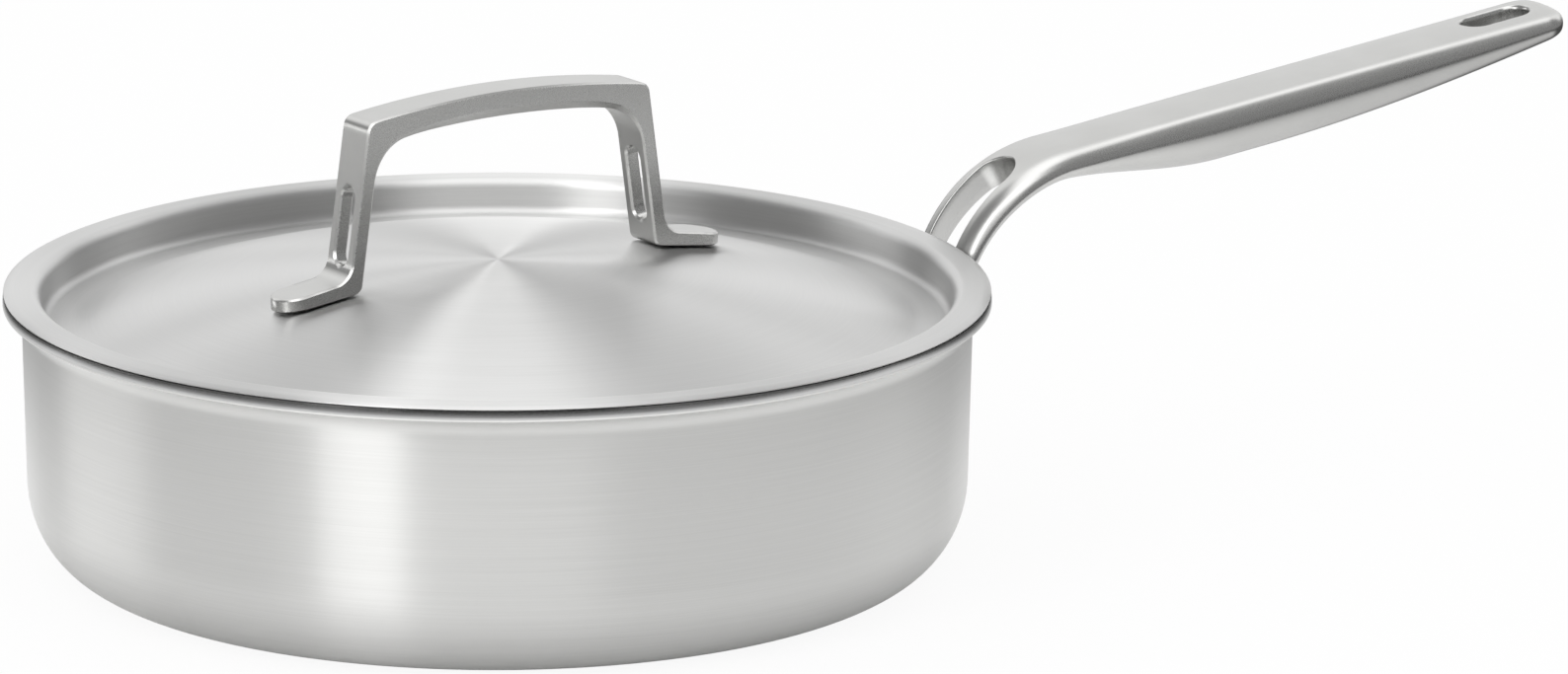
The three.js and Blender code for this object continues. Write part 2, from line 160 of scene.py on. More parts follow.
def studio_room():
    """A room that lights matt surfaces evenly and that the camera sees as white. In the steel it has white
    boards behind the pan and overhead, a bright one above the camera, a low bright one to the left,
    and dim sides."""
    world = bpy.data.worlds.new("studio_room")
    world.use_nodes = True
    tree = world.node_tree
    tree.nodes.clear()
    direction = tree.nodes.new("ShaderNodeTexCoord").outputs["Generated"]
    boards = (
        board(tree, direction, KEY_BOARD, turn=0, half_turn=35, low=40, high=68),
        board(tree, direction, FRONT_BOARD, turn=-12, half_turn=42, low=15, high=40),
        board(tree, direction, CEILING, turn=0, half_turn=ALL_ROUND, low=68, high=PAST_TOP),
        board(tree, direction, BACK_WALL, turn=180, half_turn=36, low=PAST_BOTTOM, high=22),
        board(tree, direction, BACK_BOARD, turn=180, half_turn=65, low=22, high=68),
        board(tree, direction, LEFT_SIDE, turn=-88, half_turn=57, low=PAST_BOTTOM, high=68),
        board(tree, direction, LEFT_WALL, turn=-106, half_turn=16, low=PAST_BOTTOM, high=5),
        board(tree, direction, RIGHT_SIDE, turn=88, half_turn=57, low=PAST_BOTTOM, high=68),
    )
    mirrored = 0
    for lit in boards:
        mirrored = maths(tree, "ADD", mirrored, lit)
    path = tree.nodes.new("ShaderNodeLightPath")
    sent_on = maths(tree, "MAXIMUM", path.outputs["Is Glossy Ray"], path.outputs["Is Transmission Ray"])
    background = add_node(tree, "ShaderNodeBackground", Color=(1, 1, 1, 1))
    tree.links.new(blend(tree, sent_on, ROOM_LIGHT, mirrored), background.inputs["Strength"])
    output = tree.nodes.new("ShaderNodeOutputWorld")
    tree.links.new(background.outputs[0], output.inputs["Surface"])
    scene.world = world


studio_room()

FLOOR_HALF = 6
FLOOR_DROP = 0.0003
FLOOR_NEAR = 0.9
# Painted shade: past the dim, far and back lines the steel sees the floor paint at FLOOR_FAR, darker than
# the camera sees it.
FLOOR_FAR = 0.08
FLOOR_REACH = 0.52
FLOOR_FADE = 0.06
DIM_TURN = 40
FAR_REACH = 0.54
FAR_MIDDLE = (0.05, 0, 0)
BACK_TURN = 150
BACK_REACH = 0.34
BACK_FADE = 0.04
# Painted light: the glow constants set an emission on the floor, seen only in the steel, that stands in for
# lamp light in front of the pan. The shade constants set painted shade round the pan's foot, where the glow
# is left out.
FLOOR_PAINTED_GLOW = 0.66
GLOW_AHEAD = 0.16
GLOW_REACH = 0.32
GLOW_FADE = 0.15
SHADE_REACH = 0.145
SHADE_FADE = 0.035
FLOOR_WHITE_SHARE = 0.92


def stage_card(name, corners, material):
    """A flat card of four corners that is scenery."""
    mesh = bpy.data.meshes.new(name)
    mesh.from_pydata(corners, [], [(0, 1, 2, 3)])
    mesh.materials.append(material)
    card = bpy.data.objects.new(name, mesh)
    scene.collection.objects.link(card)


def distance_from(tree, place, point):
    """How far a place is from a point."""
    made = tree.nodes.new("ShaderNodeVectorMath")
    made.operation = "DISTANCE"
    made.inputs[1].default_value = point
    tree.links.new(place, made.inputs[0])
    return made.outputs["Value"]


def floor_paint():
    """Matt pale paint that takes the pan's shadow. The camera sees it almost white. The steel sees a
    painted pool of light on it in front of the pan, an emission that stands in for lamp light, with painted
    shade close round the pan's foot. It also sees the paint darker, as painted shade, beyond a line to the
    right, a line on each side behind the pan, and a circle all round."""
    paint = bpy.data.materials.new("floor_paint")
    paint.use_nodes = True
    tree = paint.node_tree
    tree.nodes.clear()
    place = tree.nodes.new("ShaderNodeTexCoord").outputs["Object"]
    # Painted shade for the steel: glossy rays see the paint darker beyond a line to the right, a circle all
    # round and a line on each side behind the pan.
    off = maths(tree, "SUBTRACT", along(tree, place, way(DIM_TURN)), FLOOR_REACH)
    away = maths(tree, "SUBTRACT", distance_from(tree, place, FAR_MIDDLE), FAR_REACH)
    beyond = step_between(tree, maths(tree, "MAXIMUM", off, away), -FLOOR_FADE, FLOOR_FADE)
    for turn in (-BACK_TURN, BACK_TURN):
        behind = along(tree, place, way(turn))
        dim = step_between(tree, behind, BACK_REACH - BACK_FADE, BACK_REACH + BACK_FADE)
        beyond = maths(tree, "MAXIMUM", beyond, dim)
    path = tree.nodes.new("ShaderNodeLightPath")
    painted_shade = maths(tree, "MULTIPLY", beyond, path.outputs["Is Glossy Ray"])
    matt = tree.nodes.new("ShaderNodeBsdfDiffuse")
    tree.links.new(blend(tree, painted_shade, FLOOR_NEAR, FLOOR_FAR), matt.inputs["Color"])
    # A painted pool of light, seen only by the steel: an emission in front of the pan, left out close round
    # the pan's foot as painted shade.
    ahead = distance_from(tree, place, GLOW_AHEAD * way(0))
    outside = step_between(tree, ahead, GLOW_REACH - GLOW_FADE, GLOW_REACH + GLOW_FADE)
    reach = distance_from(tree, place, (0, 0, 0))
    clear = step_between(tree, reach, SHADE_REACH - SHADE_FADE, SHADE_REACH + SHADE_FADE)
    painted_pool_of_light = maths(tree, "MULTIPLY", maths(tree, "SUBTRACT", 1, outside), clear)
    mirrored = maths(tree, "MULTIPLY", painted_pool_of_light, path.outputs["Is Glossy Ray"])
    glow = tree.nodes.new("ShaderNodeEmission")
    tree.links.new(maths(tree, "MULTIPLY", mirrored, FLOOR_PAINTED_GLOW), glow.inputs["Strength"])
    lit = tree.nodes.new("ShaderNodeAddShader")
    tree.links.new(matt.outputs[0], lit.inputs[0])
    tree.links.new(glow.outputs[0], lit.inputs[1])
    white = add_node(tree, "ShaderNodeEmission", Color=(1, 1, 1, 1))
    mix = tree.nodes.new("ShaderNodeMixShader")
    tree.links.new(maths(tree, "MULTIPLY", path.outputs["Is Camera Ray"], FLOOR_WHITE_SHARE), mix.inputs[0])
    tree.links.new(lit.outputs[0], mix.inputs[1])
    tree.links.new(white.outputs[0], mix.inputs[2])
    output = tree.nodes.new("ShaderNodeOutputMaterial")
    tree.links.new(mix.outputs[0], output.inputs["Surface"])
    return paint


floor_corners = [
    (x * FLOOR_HALF, y * FLOOR_HALF, -FLOOR_DROP) for x, y in ((-1, -1), (1, -1), (1, 1), (-1, 1))
]
stage_card("floor", floor_corners, floor_paint())


STRIP_RADIANCE = 2.2
STRIP_TURN = -28.5
STRIP_DISTANCE = 0.71
STRIP_HEIGHT = 0.57
STRIP_SIZE = (0.24, 0.86)
LAMP_WATTS = 4


def light_panel(name, turn, distance, height, size, radiance):
    """A soft upright lamp that faces the pan from a turn, a distance and a height. It is seen as an even
    panel of its size, and takes LAMP_WATTS for each square metre and unit of radiance."""
    lamp = bpy.data.lights.new(name, "AREA")
    lamp.shape = "RECTANGLE"
    lamp.size, lamp.size_y = size
    lamp.energy = LAMP_WATTS * radiance * size[0] * size[1]
    panel = bpy.data.objects.new(name, lamp)
    panel.location = distance * way(turn) + Vector((0, 0, height))
    panel.rotation_euler = (math.pi / 2, 0, math.radians(turn - HANDLE_TURN))
    panel.visible_camera = False
    scene.collection.objects.link(panel)


light_panel("strip_panel", STRIP_TURN, STRIP_DISTANCE, STRIP_HEIGHT, STRIP_SIZE, STRIP_RADIANCE)

# Bowl
# The bowl is deep-drawn from one disc of three bonded sheets, two of steel with aluminium between.
# Its lip is rolled outwards, and the steel is brushed while the bowl turns.

MM = 0.001
PAN_RADIUS = 120 * MM
PAN_HEIGHT = 71.7 * MM
OUTER_SKIN = 0.5 * MM
CORE = 1.5 * MM
INNER_SKIN = 0.5 * MM
BOND_LINE = 0.02 * MM
BASE_CORNER_RUN = 18.4 * MM
BASE_CORNER_RISE = 23.3 * MM
WALL_DRAFT = math.radians(1)
LIP_REACH = 4.85 * MM
LIP_ANGLE = 86.3
LIP_EDGE_BULGE = 0.039 * MM
TURN_STEPS = 256
MERGE_DISTANCE = 2e-6
SMOOTH_ANGLE = math.radians(35)

clad_wall = OUTER_SKIN + CORE + INNER_SKIN + 2 * BOND_LINE
wall_radius = PAN_RADIUS + clad_wall
lip_radius = LIP_REACH / (1 - math.cos(math.radians(LIP_ANGLE)))
lip_root_height = PAN_HEIGHT - (lip_radius + clad_wall) * math.sin(math.radians(LIP_ANGLE))


def arc(centre, radii, start, end, steps):
    """Points of an ellipse's arc, an array of (across, up), from one angle in degrees to another."""
    angle = np.radians(np.linspace(start, end, steps + 1))
    return np.column_stack((centre[0] + radii[0] * np.cos(angle), centre[1] + radii[1] * np.sin(angle)))


def line(start, end, steps):
    """Even points from one point up to, but without, another."""
    share = np.linspace(0, 1, steps, endpoint=False)[:, None]
    return np.asarray(start) * (1 - share) + np.asarray(end) * share


def moved_square(profile, distance):
    """A profile moved square to itself, to the left of its direction. Points on the axis stay on it."""
    forward = np.gradient(profile, axis=0)
    forward /= np.linalg.norm(forward, axis=1, keepdims=True)
    moved = profile + distance * np.column_stack((-forward[:, 1], forward[:, 0]))
    moved[profile[:, 0] == 0, 0] = 0
    return moved


def bowl_profile():
    """The bowl's outer surface as radius and height: base, oval corner, drafted wall and rolled lip."""
    foot = wall_radius - math.tan(WALL_DRAFT) * (lip_root_height - BASE_CORNER_RISE)
    corner_start = foot - BASE_CORNER_RUN
    base = line((0, 0), (corner_start, 0), 12)
    corner = arc((corner_start, BASE_CORNER_RISE), (BASE_CORNER_RUN, BASE_CORNER_RISE), -90, 0, 28)
    wall = line(corner[-1], (wall_radius, lip_root_height), 14)[1:]
    lip_centre = (wall_radius + lip_radius, lip_root_height)
    lip = arc(lip_centre, (lip_radius, lip_radius), 180, 180 - LIP_ANGLE, 16)
    return np.vstack((base, corner, wall, lip))


def finished_object(name, mesh):
    """Puts a mesh into the scene with its doubles merged, faces outwards and soft shading."""
    work = bmesh.new()
    work.from_mesh(mesh)
    bmesh.ops.remove_doubles(work, verts=work.verts, dist=MERGE_DISTANCE)
    bmesh.ops.recalc_face_normals(work, faces=work.faces)
    work.to_mesh(mesh)
    work.free()
    mesh.shade_smooth()
    mesh.set_sharp_from_angle(angle=SMOOTH_ANGLE)
    made = bpy.data.objects.new(name, mesh)
    scene.collection.objects.link(made)
    return made


def grid_quads(rows, columns):
    """The corner numbers of the quads of a grid of points, and each corner's row and column."""
    row, column = np.meshgrid(np.arange(rows - 1), np.arange(columns - 1), indexing="ij")
    corner_row = np.stack((row, row + 1, row + 1, row), axis=-1).reshape(-1, 4)
    corner_column = np.stack((column, column, column + 1, column + 1), axis=-1).reshape(-1, 4)
    return corner_row * columns + corner_column, corner_row, corner_column


def turned_piece(name, profile, polish):
    """A surface of revolution: the profile's radius r and height z give (r cos a, r sin a, z) for a
    whole turn of a. The UV map runs along the profile and then round the turn, in metres and turns.
    Polish is 1 at the profile's points that are ground smooth after the brushing, and 0 elsewhere."""
    angle = np.linspace(0, 2 * np.pi, TURN_STEPS + 1)
    radius, height = profile[:, :1], profile[:, 1:]
    points = np.stack((radius * np.cos(angle), radius * np.sin(angle), height + 0 * angle), axis=-1)
    faces, row, column = grid_quads(*points.shape[:2])
    length = np.append(0, np.cumsum(np.linalg.norm(np.diff(profile, axis=0), axis=1)))
    mesh = bpy.data.meshes.new(name)
    mesh.from_pydata(points.reshape(-1, 3).tolist(), [], faces.tolist())
    brush = mesh.uv_layers.new(name="brush")
    brush.data.foreach_set("uv", np.stack((length[row], column / TURN_STEPS), axis=-1).ravel())
    ground = mesh.attributes.new("edge", "FLOAT", "POINT")
    ground.data.foreach_set("value", np.repeat(polish, len(angle)).astype(np.float32))
    return finished_object(name, mesh)


def bowl_layer(name, depth, thickness, edge_steps):
    """One bonded sheet, between two depths in from the bowl's outer surface. The lip's edge is ground
    smooth across all the sheets, with a slight bulge."""
    outside = moved_square(bowl_profile(), depth)
    inside = moved_square(bowl_profile(), depth + thickness)[::-1]
    lip_end = bowl_profile()[-1]
    onward = math.radians(90 - LIP_ANGLE)
    depths = np.linspace(depth, depth + thickness, edge_steps + 1)[:, None]
    past = LIP_EDGE_BULGE * (1 - (2 * depths / clad_wall - 1) ** 2)
    across_edge = np.array((-math.sin(onward), math.cos(onward)))
    out_of_edge = np.array((math.cos(onward), math.sin(onward)))
    edge = lip_end + depths * across_edge + past * out_of_edge
    polish = np.concatenate((np.zeros(len(outside)), np.ones(len(edge)), np.zeros(len(inside))))
    return turned_piece(name, np.vstack((outside[:-1], edge, inside[1:])), polish[1:-1])


def turned_brush():
    """Hairlines left by brushing a turning piece. The noise is read at (cos a, sin a) times Sweep and
    (radius + height) times Lines, so it is stretched round the axis and fine across it."""
    group = bpy.data.node_groups.new("turned_brush", "ShaderNodeTree")
    for name in ("Lines", "Sweep"):
        group.interface.new_socket(name, in_out="INPUT", socket_type="NodeSocketFloat")
    group.interface.new_socket("Streaks", in_out="OUTPUT", socket_type="NodeSocketFloat")
    given = group.nodes.new("NodeGroupInput")
    place = group.nodes.new("ShaderNodeTexCoord")
    split = group.nodes.new("ShaderNodeSeparateXYZ")
    group.links.new(place.outputs["Object"], split.inputs[0])
    x, y, z = split.outputs
    squared = maths(group, "ADD", maths(group, "MULTIPLY", x, x), maths(group, "MULTIPLY", y, y))
    radius = maths(group, "SQRT", squared)
    spread = maths(group, "DIVIDE", given.outputs["Sweep"], maths(group, "MAXIMUM", radius, MM))
    joined = group.nodes.new("ShaderNodeCombineXYZ")
    group.links.new(maths(group, "MULTIPLY", x, spread), joined.inputs[0])
    group.links.new(maths(group, "MULTIPLY", y, spread), joined.inputs[1])
    across = maths(group, "MULTIPLY", maths(group, "ADD", radius, z), given.outputs["Lines"])
    group.links.new(across, joined.inputs[2])
    noise = add_node(group, "ShaderNodeTexNoise", Scale=1, Detail=4, Roughness=0.65)
    group.links.new(joined.outputs[0], noise.inputs["Vector"])
    result = group.nodes.new("NodeGroupOutput")
    group.links.new(noise.outputs[0], result.inputs["Streaks"])
    return group


brush_group = turned_brush()


def ramp(tree, value, low, high):
    """A value that goes from 0 to 1, spread over low to high."""
    made = add_node(tree, "ShaderNodeMapRange", To_Min=low, To_Max=high)
    tree.links.new(value, made.inputs["Value"])
    return made.outputs["Result"]


def two_tone(tree, factor, dark, light):
    """A colour between two greys. Each of them is a colour or another node's output."""
    mix = tree.nodes.new("ShaderNodeMix")
    mix.data_type = "RGBA"
    for name, colour in (("A", dark), ("B", light)):
        if isinstance(colour, tuple):
            mix.inputs[name].default_value = colour
        else:
            tree.links.new(colour, mix.inputs[name])
    tree.links.new(factor, mix.inputs["Factor"])
    return mix.outputs["Result"]


def grey(level, less_blue):
    """A grey with a little less blue, as steel has in white light."""
    return (level, level, level - less_blue, 1)


def streaks(tree, lines, sweep):
    """One set of hairlines, with so many lines to a metre and so much change round the turn."""
    made = tree.nodes.new("ShaderNodeGroup")
    made.node_tree = brush_group
    made.inputs["Lines"].default_value = lines
    made.inputs["Sweep"].default_value = sweep
    return made.outputs["Streaks"]


GROUND_ROUGHNESS = 0.09
FINE_LINES = 2600
FINE_SWEEP = 2.4
FINE_SHARE = 0.6
BROAD_LINES = 420
BROAD_SWEEP = 1.1
GROOVE_DEPTH = 0.02 * MM
GROOVE_STRENGTH = 0.2
STEEL_CAST = 0.01


def bare_metal(name):
    """A new metal, with its node tree and its shader."""
    metal = bpy.data.materials.new(name)
    metal.use_nodes = True
    shader = metal.node_tree.nodes["Principled BSDF"]
    shader.inputs["Metallic"].default_value = 1
    return metal, metal.node_tree, shader


def brushed_steel(name, dark, light, smoothest, roughest):
    """Stainless steel brushed round its axis: reflections are spread across the brush lines and stay
    crisp along them, and hairlines change the colour, the gloss and the height a little."""
    steel, tree, shader = bare_metal(name)
    shader.inputs["Anisotropic"].default_value = 1
    fine = streaks(tree, FINE_LINES, FINE_SWEEP)
    broad = streaks(tree, BROAD_LINES, BROAD_SWEEP)
    both = blend(tree, FINE_SHARE, broad, fine)
    tree.links.new(two_tone(tree, both, dark, light), shader.inputs["Base Color"])
    ground = tree.nodes.new("ShaderNodeAttribute")
    ground.attribute_name = "edge"
    brushed = ramp(tree, both, smoothest, roughest)
    roughness = blend(tree, ground.outputs["Fac"], brushed, GROUND_ROUGHNESS)
    tree.links.new(roughness, shader.inputs["Roughness"])
    bump = add_node(tree, "ShaderNodeBump", Strength=GROOVE_STRENGTH, Distance=GROOVE_DEPTH)
    tree.links.new(fine, bump.inputs["Height"])
    tree.links.new(bump.outputs[0], shader.inputs["Normal"])
    tangent = tree.nodes.new("ShaderNodeTangent")
    tangent.direction_type = "UV_MAP"
    tangent.uv_map = "brush"
    tree.links.new(tangent.outputs[0], shader.inputs["Tangent"])
    return steel


outer_steel = brushed_steel(
    "brushed_outer_steel", dark=grey(0.52, STEEL_CAST), light=grey(0.68, STEEL_CAST),
    smoothest=0.29, roughest=0.41
)
inner_steel = brushed_steel(
    "brushed_inner_steel", dark=grey(0.55, STEEL_CAST), light=grey(0.65, STEEL_CAST),
    smoothest=0.34, roughest=0.46
)


def rolled_aluminium():
    """Dull rolled aluminium with a faint grain, seen only at the cut edge of the lip."""
    metal, tree, shader = bare_metal("aluminium_core")
    grain = streaks(tree, lines=3000, sweep=6)
    tree.links.new(two_tone(tree, grain, grey(0.6, 0), grey(0.68, 0)), shader.inputs["Base Color"])
    tree.links.new(ramp(tree, grain, low=0.14, high=0.22), shader.inputs["Roughness"])
    return metal


def placed(piece, material, body, slot, *nodes):
    """Gives a finished piece its material and its body, and hides the nodes it stands for. The slot is not
    used.
    """
    piece.data.materials.append(material)
    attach(piece, body)
    if nodes:
        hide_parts(*nodes)


core_depth = OUTER_SKIN + BOND_LINE
inner_depth = core_depth + CORE + BOND_LINE
bowl_outer_skin = bowl_layer("bowl_outer_skin", 0, OUTER_SKIN, 6)
placed(bowl_outer_skin, outer_steel, "pan", "brushed_outer_steel", "pan_outer_skin")
bowl_core = bowl_layer("bowl_core", core_depth, CORE, 12)
placed(bowl_core, rolled_aluminium(), "pan", "aluminium_core", "pan_core")
bowl_inner_skin = bowl_layer("bowl_inner_skin", inner_depth, INNER_SKIN, 6)
placed(bowl_inner_skin, inner_steel, "pan", "brushed_inner_steel", "pan_inner_skin")

# Long handle
# The handle is cast in one piece: a root that lies along the wall, a forked neck, and a grip with a
# flat crowned top, a half-round belly and a slot to hang it by. It is blasted to an even satin.

LID_RIM_HEIGHT = PAN_HEIGHT + 1.2 * MM
NECK_STAND_OFF = 1.3 * MM
NECK_REACH = 5.1 * MM
NECK_RADIUS = 44 * MM
ROOT_LENGTH = 14 * MM
ROOT_WIDTH = 22 * MM
ROOT_THICKNESS = 5 * MM
ROOT_CORNER = 6 * MM
FORK_WIDTH = 29 * MM
FORK_SLOT_WIDTH = 15 * MM
FORK_SLOT_START = 25 * MM
FORK_SLOT_LENGTH = 38.5 * MM
FORK_RIM = 0.6 * MM
NECK_THICKNESS = 9 * MM
NECK_LENGTH = 70 * MM
NECK_EDGE_RADIUS = 4.8 * MM
GRIP_SLOPE = math.radians(9.3)
GRIP_LENGTH = 154.8 * MM
GRIP_WIDTH = 26 * MM
GRIP_CROWN = 0.8 * MM
GRIP_EDGE_RADIUS = 3.8 * MM
EDGE_DEEPENING = 1.35
BELLY_THICKNESS = 16.8 * MM
SWELL_START = 66 * MM
SWELL_END = 122 * MM
BELLY_AT = 60 * MM
TIP_THICKNESS = 8.4 * MM
BELLY_FULLNESS = 2.3
TIP_TAPER = 1.9
TIP_CORNER = 6.5 * MM
TIP_EDGE_RADIUS = 2 * MM
HANG_SLOT_WIDTH = 10 * MM
HANG_SLOT_LENGTH = 20.2 * MM
HANG_SLOT_EDGE = 6.4 * MM
HANG_RIM = 1.4 * MM
GRAIN_FINENESS = 5200
EDGE_BRIGHTENING = 0.35
EDGE_SMOOTHING = 0.04
GRAIN_DEPTH = 0.02 * MM
GRAIN_STRENGTH = 0.15
PAD_WIDTH = 20 * MM
PAD_HEIGHT = 21 * MM
PAD_SQUARENESS = 5
PAD_BEAD = 0.7 * MM
PAD_STEPS = 96
EDGE_SHARE = 0.7
RIM_SHARE = 0.6
LEAST_RIM = 1.5 * MM
ROW_DIGITS = 8
ROW_TOLERANCE = 1e-7

root_radius = wall_radius + NECK_STAND_OFF
neck_turn = math.pi / 2 - GRIP_SLOPE
neck_start_height = LID_RIM_HEIGHT - math.sqrt(2 * NECK_RADIUS * NECK_REACH - NECK_REACH ** 2)
grip_start = ROOT_LENGTH + NECK_RADIUS * neck_turn
handle_length = grip_start + GRIP_LENGTH
fork_end = FORK_SLOT_START + FORK_SLOT_LENGTH
hang_end = handle_length - HANG_SLOT_EDGE
hang_start = hang_end - HANG_SLOT_LENGTH


def ease(value, low, high):
    """A smooth step from 0 to 1 as a value goes from low to high."""
    share = np.clip((value - low) / (high - low), 0, 1)
    return share * share * (3 - 2 * share)


def top_line(length):
    """Places on the handle's top line, and the direction straight down into the metal, for lengths from
    the root: up the wall, round a bend of NECK_RADIUS, then straight out along the sloping grip."""
    turned = np.clip((length - ROOT_LENGTH) / NECK_RADIUS, 0, neck_turn)
    straight = np.where(length < ROOT_LENGTH, length - ROOT_LENGTH, np.maximum(length - grip_start, 0))
    across = root_radius + NECK_RADIUS * (1 - np.cos(turned)) + straight * np.sin(turned)
    up = neck_start_height + NECK_RADIUS * np.sin(turned) + straight * np.cos(turned)
    places = np.column_stack((across, 0 * across, up))
    inward = np.column_stack((np.cos(turned), 0 * across, -np.sin(turned)))
    return places, inward


def corner_distance(one, other, radius):
    """Distance to the nearer of two square edges whose corner is rounded."""
    in_corner = (one < radius) & (other < radius)
    rounded = radius - np.hypot(radius - one, radius - other)
    return np.where(in_corner, rounded, np.minimum(one, other))


def rounded_drop(distance, radius):
    """How far a round edge or corner lies below a face, at a distance in from the edge."""
    left = np.clip(radius - distance, 0, radius)
    return radius - np.sqrt(np.maximum(radius ** 2 - left ** 2, 0))


def handle_half_width(length):
    """Half the handle's width, without its round ends: wide at the fork, and narrower at the root and
    along the grip."""
    opened = ease(length, ROOT_LENGTH + ROOT_CORNER, FORK_SLOT_START + FORK_SLOT_WIDTH / 2)
    closed = ease(length, fork_end - FORK_SLOT_WIDTH, grip_start + FORK_SLOT_WIDTH)
    return (ROOT_WIDTH + (FORK_WIDTH - ROOT_WIDTH) * opened + (GRIP_WIDTH - FORK_WIDTH) * closed) / 2


def handle_thickness(length):
    """Thickness below the top line: thin at the root, fullest at the belly, thinner at the tip."""
    belly = grip_start + BELLY_AT
    neck = ROOT_THICKNESS + (NECK_THICKNESS - ROOT_THICKNESS) * ease(length, 0, NECK_LENGTH)
    rise = (BELLY_THICKNESS - NECK_THICKNESS) * ease(length, SWELL_START, SWELL_END)
    past = np.clip((length - belly) / (handle_length - belly), 0, 1)
    return neck + rise - (BELLY_THICKNESS - TIP_THICKNESS) * past ** TIP_TAPER


def slot_distance(length, across, start, end, width):
    """Distance from a slot's outline, which has round ends. It is negative inside the slot."""
    reach = width / 2
    beyond = length - np.clip(length, start + reach, end - reach)
    return np.hypot(beyond, across) - reach


def slot_half_width(length, start, end, width):
    """Half a slot's width at a length, and 0 beyond its round ends."""
    reach = width / 2
    beyond = length - np.clip(length, start + reach, end - reach)
    return np.sqrt(np.maximum(reach ** 2 - beyond ** 2, 0))


def slot_rows(start, end, width, rim, steps):
    """Lengths at which a slot is cut into rows, closest together where its ends and its rim curve."""
    reach = width / 2
    turn = np.linspace(0, np.pi / 2, steps + 1)
    approach = start - rim + rim * np.sin(turn)
    opening = start + reach * (1 - np.cos(turn))
    middle = np.linspace(start + reach, end - reach, 2 * steps)
    return np.concatenate((approach, opening, middle, start + end - opening, start + end - approach))


def bar_piece(name, places, inward, top, bottom, edge_top, edge_bottom, slotted, capped):
    """A bar with slots, built as one half and its mirror image. A row of the half runs over the top from
    the slot or the middle to the side, and back under it: across is a sideways distance and depth is
    measured along inward. Rows inside a slot are closed by its wall, and capped ends by a flat face."""
    wall_share = np.linspace(0, 1, 5)[1:-1]
    across = np.hstack((top[0], bottom[0], bottom[0][:, -1:] + 0 * wall_share))
    slot_wall = bottom[1][:, -1:] + (top[1][:, :1] - bottom[1][:, -1:]) * wall_share
    depth = np.hstack((top[1], bottom[1], slot_wall))
    edge = np.hstack((edge_top, edge_bottom, 1 + 0 * slot_wall))
    half = places[:, None, :] + inward[:, None, :] * depth[..., None]
    half = np.concatenate((half, half[:, :1]), axis=1)
    across = np.hstack((across, across[:, :1]))
    edge = np.hstack((edge, edge[:, :1]))
    rows, columns = across.shape
    faces, row, column = grid_quads(rows, columns)
    in_wall = column.min(axis=1) >= columns - 2 - len(wall_share)
    kept = faces[~in_wall | slotted[row.min(axis=1)]]
    sided = np.zeros_like(half)
    sided[..., 1] = across
    points = np.concatenate(((half + sided).reshape(-1, 3), (half - sided).reshape(-1, 3)))
    mirrored = kept[:, ::-1] + rows * columns
    polygons = np.vstack((kept, mirrored)).tolist()
    rim_columns = np.arange(columns - 1 - len(wall_share))
    for row_number in (0, rows - 1) if capped else ():
        near = row_number * columns + rim_columns
        polygons.append(np.concatenate((near, near[-2:0:-1] + rows * columns)).tolist())
    mesh = bpy.data.meshes.new(name)
    mesh.from_pydata(points.tolist(), [], polygons)
    polish = mesh.attributes.new("edge", "FLOAT", "POINT")
    polish.data.foreach_set("value", np.tile(edge.ravel(), 2).astype(np.float32))
    return finished_object(name, mesh)


